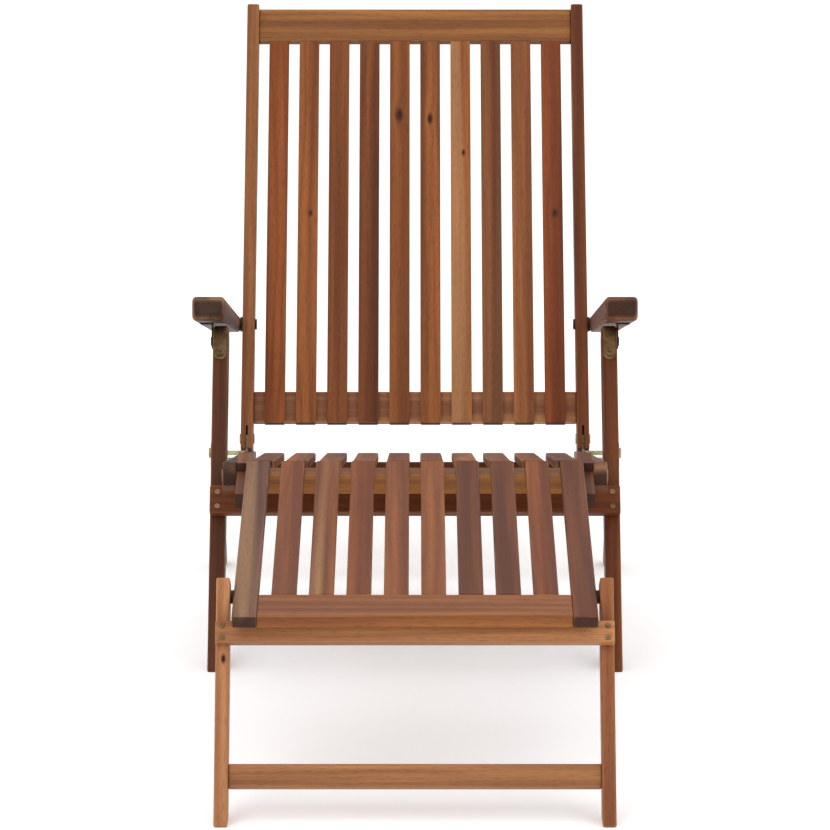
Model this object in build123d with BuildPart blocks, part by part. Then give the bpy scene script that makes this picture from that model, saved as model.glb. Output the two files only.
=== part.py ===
from build123d import *
import os
from math import atan2, cos, degrees, radians, sin

# Folding deck chair with a fold-out footrest, in millimetres.
# +Z is up, +Y points to the rear and +X to the sitter's left; pieces called left are at +X.
# The origin is on the floor, under the middle of the whole chair.

# --- Driving dimensions: places on the side view, as (Y, Z) ---------------------------------------
MAIN_FOOT = (-131.2, 0.0)              # front lower corner of the main legs
SEAT_FRONT = (-157.7, 287.5)           # top of the seat frame where the seat slats start
BACK_FOOT = (413.4, 183.0)             # front lower corner of the back stiles
FOOTREST_REAR = (-280.7, 313.2)        # top rear corner of the footrest panel
FOOTREST_FOOT = (-825.2, 0.0)          # front lower corner of the footrest legs
BACK_PIVOT = (439.8, 191.0)            # back stiles on the steel hinge plates
REAR_LEG_PIVOT = (390.8, 181.0)        # rear legs on their stub axles
FOOTREST_PIVOT = (-231.2, 283.0)       # footrest cheeks on the seat rails

SEAT_ANGLE = -10.7                     # every angle is measured from +Y towards +Z
MAIN_LEG_ANGLE = 58.2
BACK_ANGLE = 57.1
FOOTREST_ANGLE = 9.6
FOOTREST_LEG_ANGLE = 63.1
REAR_LEG_ANGLE = 115.0

# --- Driving dimensions: timber -------------------------------------------------------------------
SLAT_W = 29.0
EDGE = 2.5                             # rounding on every timber edge
SEAT_RAIL_X, SEAT_RAIL_T, SEAT_RAIL_D = 223.0, 18.0, 36.0
SEAT_RAIL_FRONT, SEAT_RAIL_REAR = -126.7, 539.9
SEAT_SLAT_L, SEAT_SLAT_T, SEAT_PITCH = 434.0, 12.0, 43.2
SEAT_RAIL_NOSE, SEAT_RAIL_CHIN = 22.0, 7.0   # rounded and cut corners of the rails' front ends
SEAT_CROSS_W, SEAT_CROSS_T, SEAT_CROSS_INSET = 38.0, 20.0, 14.0
SLAT_CORNER = 5.0                      # rounding of the seat slats' corners, seen from above

STILE_X, STILE_T, STILE_D, STILE_L = 229.5, 17.5, 36.0, 702.5
BACK_SLAT_T, BACK_PITCH, BACK_RECESS = 10.0, 44.3, 6.0
BACK_SLAT_START = 41.0
LOWER_RAIL_START, LOWER_RAIL_H, LOWER_RAIL_T = 48.0, 45.0, 15.0
TOP_RAIL_START, TOP_RAIL_H, TOP_RAIL_T = 644.5, 52.0, 14.0
FORK_DEPTH, FORK_W = 35.0, 3.1           # the open slot in a stile's foot
THIN_EDGE = 2.0                        # rounding on rails and on the back's slats

MAIN_LEG_X, MAIN_LEG_T, MAIN_LEG_D = 249.5, 20.5, 40.0
LEG_PIVOT_ALONG, ARM_PIVOT_ALONG = 294.0, 469.0
MAIN_RAIL_START, MAIN_RAIL_H, MAIN_RAIL_T = 214.0, 38.0, 15.5
SCREW_INSET = 9.0                      # from a cross rail's edge to the middle of its screws

ARM_X, ARM_W = 250.3, 42.7
ARM_TOP = ((28.8, 467.5), (558.8, 345.7))
ARM_UNDER = ((21.8, 436.0), (554.8, 324.0))
ARM_NOSE, ARM_EDGE = 11.0, 5.5         # rounding of the nose, and of every other edge
ARM_BOLT_DEPTH = 26.0

REAR_LEG_X, REAR_LEG_T, REAR_LEG_D = 270.5, 17.0, 32.0
REAR_LEG_REACH = 240.0                 # further than the floor, which cuts it
REAR_STRETCHER_DROP, REAR_STRETCHER_H, REAR_STRETCHER_T = 60.0, 27.0, 18.0

PANEL_X, PANEL_L, PANEL_T, PANEL_PITCH = 181.4, 485.3, 15.0, 43.5
PANEL_RAIL_W = 64.0
PANEL_REAR_RAIL = ((-16.0, 14.0), (-39.0, -15.0))   # along and up, from the panel's top rear corner
CHEEK_X, CHEEK_T, CHEEK_NOSE = 204.5, 18.0, 11.0
FOOTREST_LEG_X, FOOTREST_LEG_T, FOOTREST_LEG_D, FOOTREST_LEG_L = 214.2, 16.0, 34.0, 294.0
FOOTREST_LEG_PIVOT_ALONG = 274.4
FOOTREST_RAIL_START, FOOTREST_RAIL_H, FOOTREST_RAIL_T = 212.8, 26.0, 18.0
FOOTREST_STRETCHER_START, FOOTREST_STRETCHER_H, FOOTREST_STRETCHER_T = 49.0, 27.0, 18.0
FOOTREST_STRETCHER_SET_BACK = 6.0
FOOTREST_SCREW_INSET = 6.0
BELOW_FLOOR = 40.0                     # a leg's blank starts below the floor, which cuts it level

# --- Driving dimensions: steel --------------------------------------------------------------------
BOLT_R = 4.0
AXLE_R = 3.25
RUN = 0.06                             # radial clearance of a turning fit
OPEN_RUN = 0.3                         # radial clearance of the pivot left open in the linkage
PLATE_T = 2.5
PLATE_X = STILE_X + STILE_T / 2 - PLATE_T / 2
PLATE_SLOT_L, PLATE_SLOT_FIT = 50.0, 0.05
PLATE_EYE_R = 9.0
WASHER_GAP = 0.2                       # between a turning timber and the washer beside it
HEAD_R, HEAD_T = 7.5, 2.5
HUB_R, HUB_T, AXLE_HEAD_T = 7.0, 1.6, 2.8
LEG_SPACER_R, FOOTREST_SPACER_R, ARM_SPACER_R = 9.0, 8.0, 10.5
CAP_R, CAP_T, CAP_GAP = 6.0, 0.8, 0.1  # low bolt heads on the outer faces of the legs
ARM_HEAD_T = 1.2
BOLT_HIDDEN = 0.5                      # how far a blind end stays short of the face it hides behind
STRAP_W, STRAP_T, STRAP_L = 16.0, 2.0, 34.0
STRAP_SCREW_DROP = 24.0
ANGLE_T, ANGLE_L, ANGLE_W = 2.0, 60.0, 16.0
ANGLE_EAR_R, ANGLE_EAR_H = 10.0, 23.0
ANGLE_SHIFT = -2.0                     # of the angle's middle from the pivot, along the arm
ANGLE_GAP, ANGLE_FIT = 0.3, 0.05       # beside the leg, and under the arm

pieces = {}


def spot(start, angle, along, up=0.0):
    """The (Y, Z) place that is `along` and `up` from a start point, in axes turned by an angle."""
    c, s = cos(radians(angle)), sin(radians(angle))
    return (start[0] + along * c - up * s, start[1] + along * s + up * c)


def side_plane(x, start, angle):
    """A plane facing +X whose own x axis runs along a member and whose y axis is a quarter turn on."""
    c, s = cos(radians(angle)), sin(radians(angle))
    return Plane(origin=(x, start[0], start[1]), x_dir=(0, c, s), z_dir=(1, 0, 0))


def keep(name, part):
    """Label a finished piece and write it."""
    part.label = name
    pieces[name] = part
    export_step(part, f"parts/{name}.step")


def keep_pair(name, part):
    """Write a piece of the +X side, and its mirror image on the -X side."""
    keep(f"{name}_left", part)
    keep(f"{name}_right", part.mirror(Plane.YZ))


def keep_group(name, parts):
    """Write several separate solids of the +X side, with their mirror images, as one node."""
    both = [shape for part in parts for shape in part.solids() + part.mirror(Plane.YZ).solids()]
    keep(name, Compound(children=both))


def beam(plane, along, up, width, edge=EDGE, corner=0.0, on_floor=False):
    """A straight timber with rounded edges: a rectangle on a side plane, extruded along +X."""
    with BuildPart() as timber:
        with BuildSketch(plane):
            with Locations(((along[0] + along[1]) / 2, (up[0] + up[1]) / 2)):
                Rectangle(along[1] - along[0], up[1] - up[0])
        extrude(amount=width)
        if on_floor:
            split(bisect_by=Plane.XY, keep=Keep.TOP)
        if corner:
            fillet(timber.edges().filter_by(Axis((0, 0, 0), plane.y_dir)), radius=corner)
        fillet(timber.edges(), radius=edge)
    return timber.part


def drilled(part, plane, place, radius, depth=60.0):
    """The part with a round hole through it along X, at a place on a side plane."""
    with BuildPart() as result:
        add(part)
        with BuildSketch(plane):
            with Locations(place):
                Circle(radius)
        extrude(amount=depth, both=True, mode=Mode.SUBTRACT)
    return result.part


def bolt(place, x_start, x_end, radius, collars):
    """A pin along X with round collars, each given as (x from, x to, radius)."""
    with BuildPart() as pin:
        for x_from, x_to, r in [(x_start, x_end, radius)] + collars:
            with BuildSketch(side_plane(x_from, place, 0)):
                Circle(r)
            extrude(amount=x_to - x_from)
    return pin.part


def wood_screw(plane, place, radius=3.8, head=1.2, shank=10.0):
    """A screw whose head stands on a sketch plane, with its shank going in behind it."""
    shank_radius, slot_depth = radius * 0.4, head * 0.6
    slot_length, slot_width = radius * 0.9, radius * 0.2
    with BuildPart() as screw:
        with BuildSketch(plane):
            with Locations(place):
                Circle(radius)
        extrude(amount=head, taper=18)
        with BuildSketch(plane):
            with Locations(place):
                Circle(shank_radius)
        extrude(amount=-shank)
        with BuildSketch(plane.offset(head)):
            with Locations(place):
                Rectangle(slot_length, slot_width)
                Rectangle(slot_width, slot_length)
        extrude(amount=-slot_depth, mode=Mode.SUBTRACT)
    return screw.part


os.makedirs("parts", exist_ok=True)

# --- Pivots worked out from the driving dimensions ------------------------------------------------
LEG_PIVOT = spot(MAIN_FOOT, MAIN_LEG_ANGLE, LEG_PIVOT_ALONG, -MAIN_LEG_D / 2)
ARM_PIVOT = spot(MAIN_FOOT, MAIN_LEG_ANGLE, ARM_PIVOT_ALONG, -MAIN_LEG_D / 2)
# The four pivots of each side make a parallelogram, so the arms stay level as the chair folds.
STILE_PIVOT = (BACK_PIVOT[0] + ARM_PIVOT[0] - LEG_PIVOT[0], BACK_PIVOT[1] + ARM_PIVOT[1] - LEG_PIVOT[1])
FOOTREST_LEG_PIVOT = spot(FOOTREST_FOOT, FOOTREST_LEG_ANGLE, FOOTREST_LEG_PIVOT_ALONG,
                          -FOOTREST_LEG_D / 2)

# --- Seat frame -----------------------------------------------------------------------------------
seat_side = side_plane(SEAT_RAIL_X, SEAT_FRONT, SEAT_ANGLE)
with BuildPart() as seat_rail:
    with BuildSketch(seat_side) as rail_outline:
        with Locations(((SEAT_RAIL_FRONT + SEAT_RAIL_REAR) / 2, -SEAT_RAIL_D / 2)):
            Rectangle(SEAT_RAIL_REAR - SEAT_RAIL_FRONT, SEAT_RAIL_D)
        fillet(rail_outline.vertices().group_by(Axis.X)[0].sort_by(Axis.Y)[-1], radius=SEAT_RAIL_NOSE)
        chamfer(rail_outline.vertices().group_by(Axis.X)[0].sort_by(Axis.Y)[0], length=SEAT_RAIL_CHIN)
    extrude(amount=SEAT_RAIL_T)
    fillet(seat_rail.edges().filter_by(Axis((0, 0, 0), seat_side.x_dir)), radius=EDGE)
    # slot for the steel hinge plate in the rear end
    with BuildSketch(side_plane(PLATE_X - PLATE_SLOT_FIT, SEAT_FRONT, SEAT_ANGLE)):
        with Locations((SEAT_RAIL_REAR, -SEAT_RAIL_D / 2)):
            Rectangle(2 * PLATE_SLOT_L, 2 * SEAT_RAIL_D)
    extrude(amount=PLATE_T + 2 * PLATE_SLOT_FIT, mode=Mode.SUBTRACT)
    for pivot in (LEG_PIVOT, FOOTREST_PIVOT):
        with BuildSketch(side_plane(SEAT_RAIL_X, pivot, 0)):
            Circle(BOLT_R)
        extrude(amount=SEAT_RAIL_T, mode=Mode.SUBTRACT)
keep_pair("seat_rail", seat_rail.part)

seat_cross = [
    beam(side_plane(-SEAT_RAIL_X, SEAT_FRONT, SEAT_ANGLE), (start, start + SEAT_CROSS_W),
         (-SEAT_SLAT_T - SEAT_CROSS_T, -SEAT_SLAT_T), 2 * SEAT_RAIL_X, edge=1.5)
    for start in (SEAT_CROSS_INSET, SEAT_SLAT_L - SEAT_CROSS_W - SEAT_CROSS_INSET)
]
keep("seat_cross_rails", Compound(children=[solid for part in seat_cross for solid in part.solids()]))

for number in range(10):
    x = (number - 4.5) * SEAT_PITCH - SLAT_W / 2
    slat = beam(side_plane(x, SEAT_FRONT, SEAT_ANGLE), (0, SEAT_SLAT_L), (-SEAT_SLAT_T, 0), SLAT_W,
                corner=SLAT_CORNER)
    keep(f"seat_slat_{number + 1}", slat)

# Steel hinge plates: each is let into the rear end of a seat rail and reaches up into the fork of
# a back stile. The back's pivot pin and the rear leg's stub axle are welded to it.
with BuildPart() as hinge_plate:
    # measured rearwards and upwards from the back's pivot
    plate_outline = [(-101, -5), (-49, -5), (-28, -11), (-13, -15), (-9, 0), (9, 0), (7, -20),
                     (-28, -33), (-66, -31), (-98, -27)]
    with BuildSketch(side_plane(PLATE_X, BACK_PIVOT, 0)):
        with BuildLine():
            Polyline(*plate_outline, close=True)
        make_face()
        Circle(PLATE_EYE_R)
    extrude(amount=PLATE_T)
    stile_outer = STILE_X + STILE_T + WASHER_GAP
    rear_leg_outer = REAR_LEG_X + REAR_LEG_T + WASHER_GAP
    add(bolt(BACK_PIVOT, STILE_X - WASHER_GAP - HUB_T, stile_outer + HUB_T, BOLT_R,
             [(STILE_X - WASHER_GAP - HUB_T, STILE_X - WASHER_GAP, HUB_R),
              (stile_outer, stile_outer + HUB_T, HUB_R)]))
    add(bolt(REAR_LEG_PIVOT, PLATE_X, rear_leg_outer + AXLE_HEAD_T, AXLE_R,
             [(rear_leg_outer, rear_leg_outer + AXLE_HEAD_T, HUB_R)]))
keep_group("hinge_plates", [hinge_plate.part])

outer_leg_face = MAIN_LEG_X + MAIN_LEG_T
seat_rail_outer = SEAT_RAIL_X + SEAT_RAIL_T
keep_group("seat_pivot_bolts", [
    bolt(LEG_PIVOT, SEAT_RAIL_X - HEAD_T, outer_leg_face + CAP_GAP + CAP_T, BOLT_R,
         [(SEAT_RAIL_X - HEAD_T, SEAT_RAIL_X, HEAD_R),
          (seat_rail_outer, MAIN_LEG_X - WASHER_GAP, LEG_SPACER_R),
          (outer_leg_face + CAP_GAP, outer_leg_face + CAP_GAP + CAP_T, CAP_R)]),
    bolt(FOOTREST_PIVOT, CHEEK_X - WASHER_GAP - HUB_T, seat_rail_outer + HEAD_T, BOLT_R,
         [(CHEEK_X - WASHER_GAP - HUB_T, CHEEK_X - WASHER_GAP, HUB_R),
          (seat_rail_outer, seat_rail_outer + HEAD_T, HEAD_R)]),
])

# --- Back -----------------------------------------------------------------------------------------
back_side = side_plane(STILE_X, BACK_FOOT, BACK_ANGLE)
stile_blank = beam(back_side, (0, STILE_L), (-STILE_D, 0), STILE_T)
with BuildPart() as back_stile:
    add(stile_blank)
    with BuildSketch(side_plane(PLATE_X + (PLATE_T - FORK_W) / 2, BACK_FOOT, BACK_ANGLE)):
        with Locations((0, -STILE_D / 2)):
            Rectangle(2 * FORK_DEPTH, 2 * STILE_D)
    extrude(amount=FORK_W, mode=Mode.SUBTRACT)
    for pivot, clearance in ((BACK_PIVOT, RUN), (STILE_PIVOT, OPEN_RUN)):
        with BuildSketch(side_plane(STILE_X, pivot, 0)):
            Circle(BOLT_R + clearance)
        extrude(amount=STILE_T, mode=Mode.SUBTRACT)
keep_pair("back_stile", back_stile.part)

keep("back_top_rail", beam(side_plane(-STILE_X, BACK_FOOT, BACK_ANGLE),
                           (TOP_RAIL_START, TOP_RAIL_START + TOP_RAIL_H),
                           (-BACK_RECESS - TOP_RAIL_T, -BACK_RECESS), 2 * STILE_X, edge=THIN_EDGE))
lower_rail_front = -BACK_RECESS - BACK_SLAT_T
keep("back_lower_rail", beam(side_plane(-STILE_X, BACK_FOOT, BACK_ANGLE),
                             (LOWER_RAIL_START, LOWER_RAIL_START + LOWER_RAIL_H),
                             (lower_rail_front - LOWER_RAIL_T, lower_rail_front), 2 * STILE_X,
                             edge=THIN_EDGE))
for number in range(10):
    x = (number - 4.5) * BACK_PITCH - SLAT_W / 2
    slat = beam(side_plane(x, BACK_FOOT, BACK_ANGLE), (BACK_SLAT_START, TOP_RAIL_START),
                (lower_rail_front, -BACK_RECESS), SLAT_W, edge=THIN_EDGE)
    keep(f"back_slat_{number + 1}", slat)

# --- Main legs, with round tops that turn under the arms -------------------------------------------
leg_side = side_plane(MAIN_LEG_X, MAIN_FOOT, MAIN_LEG_ANGLE)
with BuildPart() as main_leg:
    with BuildSketch(leg_side):
        with Locations(((ARM_PIVOT_ALONG - BELOW_FLOOR) / 2, -MAIN_LEG_D / 2)):
            Rectangle(ARM_PIVOT_ALONG + BELOW_FLOOR, MAIN_LEG_D)
        with Locations((ARM_PIVOT_ALONG, -MAIN_LEG_D / 2)):
            Circle(MAIN_LEG_D / 2)
    extrude(amount=MAIN_LEG_T)
    split(bisect_by=Plane.XY, keep=Keep.TOP)
    fillet(main_leg.faces().filter_by(Axis.X).edges(), radius=EDGE)
    for pivot in (LEG_PIVOT, ARM_PIVOT):
        with BuildSketch(side_plane(MAIN_LEG_X, pivot, 0)):
            Circle(BOLT_R + RUN)
        extrude(amount=MAIN_LEG_T, mode=Mode.SUBTRACT)
keep_pair("main_leg", main_leg.part)

keep("main_cross_rail", beam(side_plane(-outer_leg_face, MAIN_FOOT, MAIN_LEG_ANGLE),
                             (MAIN_RAIL_START, MAIN_RAIL_START + MAIN_RAIL_H), (0, MAIN_RAIL_T),
                             2 * outer_leg_face, edge=THIN_EDGE))

# A bronzed strap lies down the front of each main leg and curls over its round top.
strap_x = MAIN_LEG_X + (MAIN_LEG_T - STRAP_W) / 2
with BuildPart() as strap:
    with BuildSketch(side_plane(strap_x, MAIN_FOOT, MAIN_LEG_ANGLE)):
        with Locations((ARM_PIVOT_ALONG - STRAP_L / 2, STRAP_T / 2)):
            Rectangle(STRAP_L, STRAP_T)
        with Locations((ARM_PIVOT_ALONG, -MAIN_LEG_D / 2)):
            with BuildLine():
                CenterArc((ARM_PIVOT_ALONG, -MAIN_LEG_D / 2), MAIN_LEG_D / 2 + STRAP_T / 2, 40, 50)
                offset(amount=STRAP_T / 2 - 0.02)
            make_face()
    extrude(amount=STRAP_W)
    end = strap.faces().sort_by(Axis((0, 0, 0), leg_side.x_dir))[0]
    fillet(end.edges().filter_by(Axis((0, 0, 0), leg_side.y_dir)), radius=STRAP_W / 2 - 0.5)
keep_group("post_straps", [strap.part])

# On a leg's front plane x is the chair's X and y runs up the leg.
leg_front = Plane(origin=(0, MAIN_FOOT[0], MAIN_FOOT[1]), x_dir=(1, 0, 0), z_dir=leg_side.y_dir)
leg_middle = MAIN_LEG_X + MAIN_LEG_T / 2
rail_screws = [
    wood_screw(leg_front.offset(MAIN_RAIL_T), (leg_middle, MAIN_RAIL_START + height))
    for height in (SCREW_INSET, MAIN_RAIL_H - SCREW_INSET)
]
strap_screw = wood_screw(leg_front.offset(STRAP_T), (leg_middle, ARM_PIVOT_ALONG - STRAP_SCREW_DROP),
                         radius=6.0, head=2.2, shank=14)
keep_group("main_leg_screws", rail_screws + [strap_screw])

# --- Armrests -------------------------------------------------------------------------------------
with BuildPart() as armrest:
    with BuildSketch(side_plane(ARM_X, (0, 0), 0)) as arm_outline:
        with BuildLine():
            Polyline(ARM_UNDER[0], ARM_UNDER[1], ARM_TOP[1], ARM_TOP[0], close=True)
        make_face()
        fillet(arm_outline.vertices().sort_by(Axis.X)[:2], radius=ARM_NOSE)
    extrude(amount=ARM_W)
    fillet(armrest.edges(), radius=ARM_EDGE)
    with BuildSketch(side_plane(ARM_X, STILE_PIVOT, 0)):
        Circle(BOLT_R)
    extrude(amount=ARM_BOLT_DEPTH, mode=Mode.SUBTRACT)
keep_pair("armrest", armrest.part)

# A steel angle under each arm: one leg is screwed to the arm, the other hangs beside the main leg.
angle_x = outer_leg_face + ANGLE_GAP
under_run, under_rise = (ARM_UNDER[1][axis] - ARM_UNDER[0][axis] for axis in (0, 1))
arm_slope = degrees(atan2(under_rise, under_run))
arm_under_z = ARM_UNDER[0][1] + (ARM_PIVOT[0] - ARM_UNDER[0][0]) * under_rise / under_run
under_side = (ARM_PIVOT[0], arm_under_z - ANGLE_FIT)
with BuildPart() as arm_angle:
    with BuildSketch(side_plane(angle_x, under_side, arm_slope)):
        with Locations((ANGLE_SHIFT, -ANGLE_T / 2)):
            Rectangle(ANGLE_L, ANGLE_T)
    extrude(amount=ANGLE_W)
    with BuildSketch(side_plane(angle_x, ARM_PIVOT, arm_slope)):
        Circle(ANGLE_EAR_R)
        with Locations((0, ANGLE_EAR_H / 2)):
            Rectangle(2 * ANGLE_EAR_R, ANGLE_EAR_H)
    extrude(amount=ANGLE_T)
    with BuildSketch(side_plane(angle_x, ARM_PIVOT, 0)):
        Circle(BOLT_R)
    extrude(amount=ANGLE_T, mode=Mode.SUBTRACT)
keep_group("arm_angles", [arm_angle.part])

keep_group("arm_bolts", [
    bolt(ARM_PIVOT, MAIN_LEG_X + BOLT_HIDDEN, angle_x + ANGLE_T + ARM_HEAD_T, BOLT_R,
         [(angle_x + ANGLE_T, angle_x + ANGLE_T + ARM_HEAD_T, CAP_R)]),
    bolt(STILE_PIVOT, STILE_X - OPEN_RUN - HEAD_T, ARM_X + ARM_BOLT_DEPTH - BOLT_HIDDEN, BOLT_R,
         [(STILE_X - OPEN_RUN - HEAD_T, STILE_X - OPEN_RUN, HEAD_R),
          (STILE_X + STILE_T + OPEN_RUN, ARM_X, ARM_SPACER_R)]),
])

# --- Rear legs, outside the main legs ---------------------------------------------------------------
rear_side = side_plane(REAR_LEG_X, REAR_LEG_PIVOT, REAR_LEG_ANGLE)
with BuildPart() as rear_leg:
    with BuildSketch(rear_side):
        with Locations((-REAR_LEG_REACH / 2, 0)):
            Rectangle(REAR_LEG_REACH, REAR_LEG_D)
        Circle(REAR_LEG_D / 2)
    extrude(amount=REAR_LEG_T)
    split(bisect_by=Plane.XY, keep=Keep.TOP)
    fillet(rear_leg.faces().filter_by(Axis.X).edges(), radius=EDGE)
    with BuildSketch(side_plane(REAR_LEG_X, REAR_LEG_PIVOT, 0)):
        Circle(AXLE_R + RUN)
    extrude(amount=REAR_LEG_T, mode=Mode.SUBTRACT)
keep_pair("rear_leg", rear_leg.part)
keep("rear_stretcher", beam(side_plane(-REAR_LEG_X, REAR_LEG_PIVOT, REAR_LEG_ANGLE),
                            (-REAR_STRETCHER_DROP - REAR_STRETCHER_H / 2,
                             -REAR_STRETCHER_DROP + REAR_STRETCHER_H / 2),
                            (-REAR_STRETCHER_T / 2, REAR_STRETCHER_T / 2), 2 * REAR_LEG_X, edge=THIN_EDGE))

# --- Footrest panel ---------------------------------------------------------------------------------
panel_side = side_plane(PANEL_X, FOOTREST_REAR, FOOTREST_ANGLE)
stile = drilled(beam(panel_side, (-PANEL_L, 0), (-PANEL_T, 0), SLAT_W),
                side_plane(PANEL_X, FOOTREST_LEG_PIVOT, 0), (0, 0), BOLT_R)
keep_pair("footrest_stile", stile)
for number in range(8):
    x = (number - 3.5) * PANEL_PITCH - SLAT_W / 2
    slat = beam(side_plane(x, FOOTREST_REAR, FOOTREST_ANGLE), (PANEL_RAIL_W - PANEL_L, 0),
                (-PANEL_T, 0), SLAT_W)
    keep(f"footrest_slat_{number + 1}", slat)
keep("footrest_front_rail", beam(side_plane(-PANEL_X, FOOTREST_REAR, FOOTREST_ANGLE),
                                 (-PANEL_L + 1, PANEL_RAIL_W - PANEL_L), (-PANEL_T, 0), 2 * PANEL_X))
keep("footrest_rear_rail", beam(side_plane(-CHEEK_X, FOOTREST_REAR, FOOTREST_ANGLE),
                                *PANEL_REAR_RAIL, 2 * CHEEK_X, edge=THIN_EDGE))

# The cheeks run under the panel's stiles and back to the pivot inside the seat rails.
with BuildPart() as cheek:
    with BuildSketch(side_plane(CHEEK_X, FOOTREST_REAR, FOOTREST_ANGLE)) as cheek_outline:
        # along the panel and up, from its top rear corner
        with BuildLine():
            Polyline((-75, -PANEL_T), (0.5, -PANEL_T), (0.5, -4), (62, -12), (66, -52), (20, -52),
                     (-75, -34), close=True)
        make_face()
        fillet(cheek_outline.vertices().sort_by(Axis.X)[-2:], radius=CHEEK_NOSE)
    extrude(amount=CHEEK_T)
    with BuildSketch(side_plane(CHEEK_X, FOOTREST_PIVOT, 0)):
        Circle(BOLT_R + RUN)
    extrude(amount=CHEEK_T, mode=Mode.SUBTRACT)
keep_group("footrest_cheeks", [cheek.part])

# --- Footrest legs ----------------------------------------------------------------------------------
footrest_leg_side = side_plane(FOOTREST_LEG_X, FOOTREST_FOOT, FOOTREST_LEG_ANGLE)
footrest_leg = beam(footrest_leg_side, (-BELOW_FLOOR, FOOTREST_LEG_L), (-FOOTREST_LEG_D, 0),
                    FOOTREST_LEG_T, on_floor=True)
keep_pair("footrest_leg", drilled(footrest_leg, side_plane(FOOTREST_LEG_X, FOOTREST_LEG_PIVOT, 0),
                                  (0, 0), BOLT_R + RUN))
footrest_outer = FOOTREST_LEG_X + FOOTREST_LEG_T
keep("footrest_cross_rail", beam(side_plane(-footrest_outer, FOOTREST_FOOT, FOOTREST_LEG_ANGLE),
                                 (FOOTREST_RAIL_START, FOOTREST_RAIL_START + FOOTREST_RAIL_H),
                                 (0, FOOTREST_RAIL_T), 2 * footrest_outer, edge=THIN_EDGE))
keep("footrest_stretcher", beam(side_plane(-FOOTREST_LEG_X, FOOTREST_FOOT, FOOTREST_LEG_ANGLE),
                                (FOOTREST_STRETCHER_START,
                                 FOOTREST_STRETCHER_START + FOOTREST_STRETCHER_H),
                                (-FOOTREST_STRETCHER_T - FOOTREST_STRETCHER_SET_BACK,
                                 -FOOTREST_STRETCHER_SET_BACK), 2 * FOOTREST_LEG_X, edge=THIN_EDGE))
keep_group("footrest_leg_bolts", [
    bolt(FOOTREST_LEG_PIVOT, PANEL_X + BOLT_HIDDEN, footrest_outer + WASHER_GAP + CAP_T, BOLT_R,
         [(PANEL_X + SLAT_W, FOOTREST_LEG_X - WASHER_GAP, FOOTREST_SPACER_R),
          (footrest_outer + WASHER_GAP, footrest_outer + WASHER_GAP + CAP_T, CAP_R)]),
])
footrest_front = Plane(origin=(0, FOOTREST_FOOT[0], FOOTREST_FOOT[1]), x_dir=(1, 0, 0),
                       z_dir=footrest_leg_side.y_dir)
footrest_leg_middle = FOOTREST_LEG_X + FOOTREST_LEG_T / 2
keep_group("footrest_rail_screws", [
    wood_screw(footrest_front.offset(FOOTREST_RAIL_T),
               (footrest_leg_middle, FOOTREST_RAIL_START + height), radius=3.4)
    for height in (FOOTREST_SCREW_INSET, FOOTREST_RAIL_H - FOOTREST_SCREW_INSET)
])

# --- Whole size and the places of the pivots ---------------------------------------------------------
boxes = [piece.bounding_box() for piece in pieces.values()]
print(len(pieces), "nodes")
print("low ", [round(min(getattr(b.min, axis) for b in boxes), 2) for axis in "XYZ"])
print("high", [round(max(getattr(b.max, axis) for b in boxes), 2) for axis in "XYZ"])
for pivot_name, pivot in (("leg", LEG_PIVOT), ("arm", ARM_PIVOT), ("stile", STILE_PIVOT),
                          ("footrest leg", FOOTREST_LEG_PIVOT)):
    print(pivot_name, "pivot", [round(value, 3) for value in pivot])
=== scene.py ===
import math
import random

import bpy
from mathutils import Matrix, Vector

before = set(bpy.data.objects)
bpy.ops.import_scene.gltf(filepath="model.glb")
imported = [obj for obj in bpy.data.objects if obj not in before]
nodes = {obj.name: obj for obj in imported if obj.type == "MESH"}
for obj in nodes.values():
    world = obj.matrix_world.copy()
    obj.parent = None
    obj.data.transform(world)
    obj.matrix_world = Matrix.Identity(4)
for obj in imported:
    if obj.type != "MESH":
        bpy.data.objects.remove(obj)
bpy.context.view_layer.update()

chance = random.Random(7)

# Directions of the members, in degrees from +Y towards +Z. What lies across the chair runs along X, and
# its section is turned by the direction of the frame that it belongs to.
SEAT, BACK, MAIN_LEG, ARM = -10.7, 57.1, 58.2, -12.4
FOOTREST, FOOTREST_LEG, REAR_LEG = 9.6, 63.1, 115.0

# Timber tones, as the mean display colour of a board from 0 to 255. The main legs carry painted shade in
# their tones, darker for the shade under the seat.
TONES = {
    "amber": (146, 92, 57), "rust": (139, 81, 47), "umber": (120, 71, 44), "gold": (159, 103, 61),
    "rosy": (131, 72, 43), "tan": (152, 106, 73), "cocoa_in_shade": (112, 72, 51), "honey": (162, 110, 74),
    "walnut": (127, 84, 61), "clay": (132, 87, 64), "blush": (176, 131, 102), "peach": (170, 118, 88),
    "ebony": (72, 46, 37), "chestnut": (104, 62, 44), "plum": (104, 72, 66), "ochre": (166, 120, 78),
    "cream": (192, 144, 114),
}
SAP, WORN = (196, 152, 106), (176, 128, 88)
PORE, KNOT = (52, 28, 18), (48, 22, 12)
END_PALE, END_DARK = (66, 45, 35), (36, 25, 21)
LIGHT_GAIN = (1.12, 0.94, 0.62)    # the pale and the dark bands of a board, against its mean
DARK_GAIN = (0.53, 0.38, 0.28)


# --- Camera, light and floor ------------------------------------------------------------------------
LENS, SENSOR = 186.5, 36.0            # millimetres
EYE = (0.0, -5.5382, 1.431)
LOOK_DOWN = 11.4                      # degrees


def camera():
    """A long lens about 4.7 m in front of the footrest, above the chair and looking down."""
    data = bpy.data.cameras.new("camera")
    data.sensor_width = SENSOR
    data.lens = LENS
    eye = bpy.data.objects.new("camera", data)
    eye.location = EYE
    eye.rotation_euler = (math.radians(90 - LOOK_DOWN), 0, 0)
    bpy.context.scene.collection.objects.link(eye)
    bpy.context.scene.camera = eye


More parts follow.
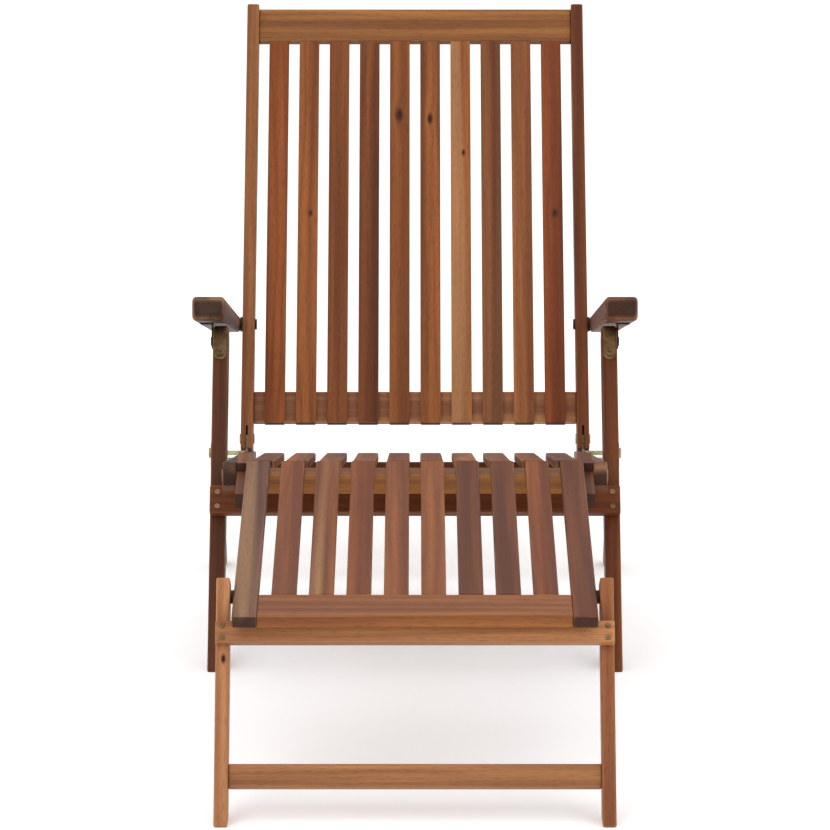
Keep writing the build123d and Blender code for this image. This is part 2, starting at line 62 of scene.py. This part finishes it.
def soft_light(name, place, target, size, power):
    data = bpy.data.lights.new(name, "AREA")
    data.shape = "SQUARE"
    data.size = size
    data.energy = power
    lamp = bpy.data.objects.new(name, data)
    lamp.location = place
    aim = Vector(target) - Vector(place)
    lamp.rotation_euler = aim.to_track_quat("-Z", "Y").to_euler()
    bpy.context.scene.collection.objects.link(lamp)


def studio():
    """A wide pale floor, a white world and three large lamps; nothing stands round the chair."""
    mesh = bpy.data.meshes.new("studio_floor")
    reach = 40.0
    corners = [(-reach, -reach, 0), (reach, -reach, 0), (reach, reach, 0), (-reach, reach, 0)]
    mesh.from_pydata(corners, [], [(0, 1, 2, 3)])
    floor = bpy.data.objects.new("studio_floor", mesh)
    bpy.context.scene.collection.objects.link(floor)
    material = bpy.data.materials.new("studio_floor")
    material.use_nodes = True
    shader = material.node_tree.nodes["Principled BSDF"]
    shader.inputs["Base Color"].default_value = (0.93, 0.93, 0.93, 1)
    shader.inputs["Roughness"].default_value = 0.9
    shader.inputs["Emission Color"].default_value = (1, 1, 1, 1)
    shader.inputs["Emission Strength"].default_value = 0.2
    mesh.materials.append(material)

    world = bpy.data.worlds.new("studio")
    world.use_nodes = True
    world.node_tree.nodes["Background"].inputs["Color"].default_value = (1, 1, 1, 1)
    world.node_tree.nodes["Background"].inputs["Strength"].default_value = 1.0
    bpy.context.scene.world = world
    soft_light("key", (-2.6, -4.2, 3.6), (0, 0, 0.3), 2.5, 48)
    soft_light("fill", (3.0, -3.6, 2.6), (0, 0, 0.3), 2.5, 24)
    soft_light("top", (0, 0.5, 4.2), (0, 0, 0.2), 3.0, 26)


# --- Material building blocks -----------------------------------------------------------------------
def linear(colour):
    """A display colour from 0 to 255 as linear red, green, blue, alpha."""
    return tuple(((c / 255 + 0.055) / 1.055) ** 2.4 for c in colour) + (1,)


class Shader:
    """A small helper that adds nodes to a material and links them."""

    def __init__(self, name):
        self.material = bpy.data.materials.new(name)
        self.material.use_nodes = True
        self.tree = self.material.node_tree
        self.out = self.tree.nodes["Principled BSDF"]

    def put(self, socket, value):
        if isinstance(value, bpy.types.NodeSocket):
            self.tree.links.new(value, socket)
        else:
            socket.default_value = value

    def math(self, operation, a, b=0.0, clamp=False):
        node = self.tree.nodes.new("ShaderNodeMath")
        node.operation = operation
        node.use_clamp = clamp
        self.put(node.inputs[0], a)
        self.put(node.inputs[1], b)
        return node.outputs[0]

    def combine(self, x, y, z):
        node = self.tree.nodes.new("ShaderNodeCombineXYZ")
        for socket, value in zip(node.inputs, (x, y, z)):
            self.put(socket, value)
        return node.outputs[0]

    def turned(self, vector, angle):
        """The vector turned so that its y runs along a member at this angle."""
        node = self.tree.nodes.new("ShaderNodeMapping")
        node.vector_type = "POINT"
        node.inputs["Rotation"].default_value = (-math.radians(angle), 0, 0)
        self.tree.links.new(vector, node.inputs["Vector"])
        split = self.tree.nodes.new("ShaderNodeSeparateXYZ")
        self.tree.links.new(node.outputs[0], split.inputs[0])
        return split.outputs

    def noise(self, vector, detail=3.0, rough=0.5, distortion=0.0):
        node = self.tree.nodes.new("ShaderNodeTexNoise")
        node.inputs["Scale"].default_value = 1.0
        node.inputs["Detail"].default_value = detail
        node.inputs["Roughness"].default_value = rough
        node.inputs["Distortion"].default_value = distortion
        self.tree.links.new(vector, node.inputs["Vector"])
        return node.outputs["Fac"]

    def ramp(self, value, stops):
        """A map from 0..1 to grey or colour; each stop is (place, grey or colour)."""
        node = self.tree.nodes.new("ShaderNodeValToRGB")
        elements = node.color_ramp.elements
        while len(elements) < len(stops):
            elements.new(0.5)
        for element, (place, colour) in zip(elements, stops):
            element.position = place
            element.color = colour if isinstance(colour, tuple) else (colour, colour, colour, 1)
        self.tree.links.new(value, node.inputs["Fac"])
        return node.outputs["Color"]

    def mix(self, factor, a, b, blend="MIX"):
        node = self.tree.nodes.new("ShaderNodeMix")
        node.data_type = "RGBA"
        node.blend_type = blend
        self.put(node.inputs[0], factor)
        self.put(node.inputs[6], a)
        self.put(node.inputs[7], b)
        return node.outputs[2]

    def bump(self, height, distance, strength=1.0):
        node = self.tree.nodes.new("ShaderNodeBump")
        node.inputs["Distance"].default_value = distance
        node.inputs["Strength"].default_value = strength
        self.tree.links.new(height, node.inputs["Height"])
        self.tree.links.new(node.outputs[0], self.out.inputs["Normal"])


def wood(name, angle, tone, seed, across=False, knots=(), sap=0.0, centre=(0, 0, 0)):
    """Oiled acacia: growth figure, fibres, pores, heart and sap bands, knots, end grain, worn edges."""
    s = Shader(name)
    place = s.tree.nodes.new("ShaderNodeTexCoord")
    x, y, z = s.turned(place.outputs["Object"], angle)
    nx, ny, nz = s.turned(place.outputs["Normal"], angle)
    along, side, end_facing = (x, y, nx) if across else (y, x, ny)
    shift = seed * 3.17

    # knots push the growth figure aside and darken the middle
    knot_mask = None
    pushed = side
    for knot_along, knot_side, size in knots:
        da = s.math("MULTIPLY", s.math("SUBTRACT", along, knot_along), 0.5)
        ds = s.math("SUBTRACT", side, knot_side)
        gap = s.math("SQRT", s.math("ADD", s.math("MULTIPLY", da, da), s.math("MULTIPLY", ds, ds)))
        near = s.math("DIVIDE", gap, size)
        swell = s.math("DIVIDE", 1.0, s.math("ADD", 1.0, s.math("MULTIPLY", near, near)))
        pushed = s.math("ADD", pushed, s.math("MULTIPLY", swell, size * 1.4))
        middle = s.math("SUBTRACT", 1.0, near, clamp=True)
        knot_mask = middle if knot_mask is None else s.math("MAXIMUM", knot_mask, middle)

    drift = s.noise(s.combine(s.math("ADD", s.math("MULTIPLY", along, 1.6), shift),
                              s.math("MULTIPLY", pushed, 14.0), s.math("MULTIPLY", z, 14.0)), 2.0)
    ring_phase = s.math("ADD", s.math("MULTIPLY", s.math("ADD", pushed, s.math("MULTIPLY", z, 0.7)), 420.0),
                        s.math("MULTIPLY", drift, 26.0))
    rings = s.math("ADD", s.math("MULTIPLY", s.math("SINE", ring_phase), 0.5), 0.5)
    fibre_place = s.combine(s.math("ADD", s.math("MULTIPLY", along, 7.0), shift),
                            s.math("MULTIPLY", pushed, 750.0), s.math("MULTIPLY", z, 750.0))
    fibres = s.noise(fibre_place, 4.0, 0.65)
    pores = s.noise(s.combine(s.math("MULTIPLY", along, 70.0), s.math("MULTIPLY", pushed, 1900.0),
                              s.math("ADD", s.math("MULTIPLY", z, 1900.0), shift)), 1.0)
    pore_mask = s.ramp(pores, [(0.60, 0.0), (0.70, 1.0)])
    bands = s.noise(s.combine(s.math("ADD", s.math("MULTIPLY", along, 1.1), shift * 2),
                              s.math("MULTIPLY", pushed, 48.0), s.math("MULTIPLY", z, 30.0)), 3.0)

    mean = linear(TONES[tone])
    light = tuple(min(1.0, c * gain) for c, gain in zip(mean, LIGHT_GAIN)) + (1,)
    dark = tuple(c * gain for c, gain in zip(mean, DARK_GAIN)) + (1,)
    base = s.mix(s.ramp(bands, [(0.36, 0.0), (0.62, 1.0)]), light, dark)
    base = s.mix(s.math("MULTIPLY", s.math("POWER", rings, 2.5), 0.42), base, dark)
    if sap:
        streak = s.noise(s.combine(s.math("ADD", s.math("MULTIPLY", along, 0.8), shift * 3),
                                   s.math("MULTIPLY", side, 34.0), s.math("MULTIPLY", z, 34.0)), 1.0)
        base = s.mix(s.math("MULTIPLY", s.ramp(streak, [(0.52, 0.0), (0.64, 1.0)]), sap), base, linear(SAP))
    base = s.mix(0.42, base, s.ramp(fibres, [(0.3, 0.45), (0.7, 1.0)]), "MULTIPLY")
    base = s.mix(s.math("MULTIPLY", pore_mask, 0.45), base, linear(PORE))
    if knot_mask is not None:
        ringed = s.math("MULTIPLY", knot_mask, s.math("ADD", 1.1, s.math("MULTIPLY", rings, 0.5)))
        base = s.mix(s.math("MULTIPLY", ringed, 1.15, clamp=True), base, linear(KNOT))
    end_mask = s.ramp(s.math("ABSOLUTE", end_facing), [(0.75, 0.0), (0.92, 1.0)])
    end_rings = s.math("SINE", s.math("MULTIPLY", s.math("ADD", pushed, z), 900.0))
    end_tone = s.mix(s.math("ADD", s.math("MULTIPLY", end_rings, 0.14), 0.5), linear(END_PALE),
                     linear(END_DARK))
    base = s.mix(s.math("MULTIPLY", end_mask, 0.85), base, end_tone)
    # a rounded edge is where the surface faces none of the member's own directions
    facing = s.math("MAXIMUM", s.math("ABSOLUTE", nx), s.math("MAXIMUM", s.math("ABSOLUTE", ny),
                                                             s.math("ABSOLUTE", nz)))
    worn = s.ramp(facing, [(0.76, 1.0), (0.97, 0.0)])
    patchy = s.noise(s.combine(s.math("ADD", s.math("MULTIPLY", along, 9.0), shift),
                               s.math("MULTIPLY", side, 30.0), s.math("MULTIPLY", z, 30.0)), 2.0)
    worn = s.math("MULTIPLY", worn, s.ramp(patchy, [(0.40, 0.05), (0.68, 0.45)]))
    base = s.mix(worn, base, linear(WORN))
    s.tree.links.new(base, s.out.inputs["Base Color"])

    gloss = s.math("ADD", 0.40, s.math("MULTIPLY", fibres, 0.16))
    gloss = s.math("ADD", gloss, s.math("MULTIPLY", end_mask, 0.2))
    s.tree.links.new(gloss, s.out.inputs["Roughness"])
    s.out.inputs["Specular IOR Level"].default_value = 0.16
    height = s.math("SUBTRACT", s.math("MULTIPLY", fibres, 0.6), s.math("MULTIPLY", pore_mask, 0.8))
    s.bump(height, 0.00035, 0.5)
    return s.material


def metal(name, colour, stain, roughness):
    """Plated steel: fine scratches, dull patches and a darker stain in places."""
    s = Shader(name)
    place = s.tree.nodes.new("ShaderNodeTexCoord")
    x, y, z = s.turned(place.outputs["Object"], 0)
    scratches = s.noise(s.combine(s.math("MULTIPLY", x, 900.0), s.math("MULTIPLY", y, 120.0),
                                  s.math("MULTIPLY", z, 900.0)), 3.0)
    patches = s.noise(s.combine(s.math("MULTIPLY", x, 90.0), s.math("MULTIPLY", y, 90.0),
                                s.math("MULTIPLY", z, 90.0)), 4.0, 0.6)
    base = s.mix(s.ramp(patches, [(0.42, 0.0), (0.66, 0.8)]), linear(colour), linear(stain))
    base = s.mix(0.3, base, s.ramp(scratches, [(0.3, 0.6), (0.7, 1.0)]), "MULTIPLY")
    s.tree.links.new(base, s.out.inputs["Base Color"])
    s.out.inputs["Metallic"].default_value = 1.0
    s.tree.links.new(s.math("ADD", roughness, s.math("MULTIPLY", patches, 0.25)), s.out.inputs["Roughness"])
    s.bump(scratches, 0.0001, 0.4)
    return s.material


def give(node, material):
    mesh = nodes[node].data
    mesh.materials.clear()
    mesh.materials.append(material)


def span(node, angle, across=False):
    """The lowest and highest place of a node along its grain, and its middle across it."""
    c, sn = math.cos(math.radians(angle)), math.sin(math.radians(angle))
    points = [v.co for v in nodes[node].data.vertices]
    runs = [p.x if across else p.y * c + p.z * sn for p in points]
    sides = [p.y * c + p.z * sn if across else p.x for p in points]
    return min(runs), max(runs), (min(sides) + max(sides)) / 2


def timber(node, angle, tone, across=False, knots=(), sap=0.0):
    """Wood for one CAD node. A knot is (share of the length, metres to the side, radius in metres)."""
    low, high, middle = span(node, angle, across)
    spots = [(low + (high - low) * share, middle + aside, radius) for share, aside, radius in knots]
    seed = chance.uniform(1, 60)
    give(node, wood("wood_" + node, angle, tone, seed, across, spots, sap))


# --- Timber of each piece; pieces called left are at +X, on the right of a front view ----------------
def all_timber():
    back_tones = ["rust", "amber", "amber", "umber", "gold", "amber", "gold", "umber", "honey", "rosy"]
    back_knots = {2: (0.54, 0.004, 0.004), 5: (0.80, -0.001, 0.0075), 6: (0.79, 0.0, 0.0055),
                  7: (0.70, 0.004, 0.004), 10: (0.54, 0.003, 0.005)}
    back_sap = {4: 0.15, 7: 0.35, 8: 0.12}
    for number, tone in enumerate(back_tones, 1):
        spot = [back_knots[number]] if number in back_knots else []
        timber(f"back_slat_{number}", BACK, tone, knots=spot, sap=back_sap.get(number, 0.0))
    seat_tones = ["walnut", "amber", "clay", "tan", "rosy", "amber", "tan", "clay", "rust", "walnut"]
    for number, tone in enumerate(seat_tones, 1):
        timber(f"seat_slat_{number}", SEAT, tone)
    footrest_tones = ["amber", "amber", "rust", "amber", "amber", "umber", "umber", "rust"]
    for number, tone in enumerate(footrest_tones, 1):
        timber(f"footrest_slat_{number}", FOOTREST, tone, sap=0.4 if number == 2 else 0.0)
    timber("back_stile_right", BACK, "tan")
    timber("back_stile_left", BACK, "umber")
    timber("back_top_rail", BACK, "ochre", across=True)
    timber("back_lower_rail", BACK, "cream", across=True)
    timber("seat_rail_right", SEAT, "ebony")
    timber("seat_rail_left", SEAT, "walnut")
    timber("seat_cross_rails", SEAT, "walnut", across=True)
    # painted shade: the main legs get darker tones for the shade that falls on them under the seat
    timber("main_leg_right", MAIN_LEG, "cocoa_in_shade")
    timber("main_leg_left", MAIN_LEG, "umber")
    timber("main_cross_rail", MAIN_LEG, "umber", across=True)
    timber("armrest_right", ARM, "ebony", sap=0.25)
    timber("armrest_left", ARM, "chestnut")
    timber("rear_leg_right", REAR_LEG, "walnut")
    timber("rear_leg_left", REAR_LEG, "clay")
    timber("rear_stretcher", REAR_LEG, "clay", across=True)
    timber("footrest_stile_right", FOOTREST, "plum", sap=0.35)
    timber("footrest_stile_left", FOOTREST, "umber")
    timber("footrest_front_rail", FOOTREST, "honey", across=True)
    timber("footrest_rear_rail", FOOTREST, "ochre", across=True)
    timber("footrest_cheeks", FOOTREST, "walnut")
    timber("footrest_leg_right", FOOTREST_LEG, "cream", knots=[(0.67, 0.001, 0.004)])
    timber("footrest_leg_left", FOOTREST_LEG, "peach")
    timber("footrest_cross_rail", FOOTREST_LEG, "cream", across=True)
    timber("footrest_stretcher", FOOTREST_LEG, "blush", across=True)


def all_steel():
    zinc = metal("zinc_steel", (200, 190, 150), (124, 110, 78), 0.28)
    bronze = metal("bronzed_steel", (150, 122, 86), (92, 70, 48), 0.36)
    blackened = metal("blackened_steel", (70, 58, 48), (38, 31, 27), 0.45)
    for node in ("hinge_plates", "seat_pivot_bolts"):
        give(node, zinc)
    for node in ("post_straps", "main_leg_screws", "footrest_rail_screws"):
        give(node, bronze)
    for node in ("arm_bolts", "arm_angles", "footrest_leg_bolts"):
        give(node, blackened)


bpy.context.scene.view_settings.view_transform = "Standard"
camera()
studio()
all_timber()
all_steel()
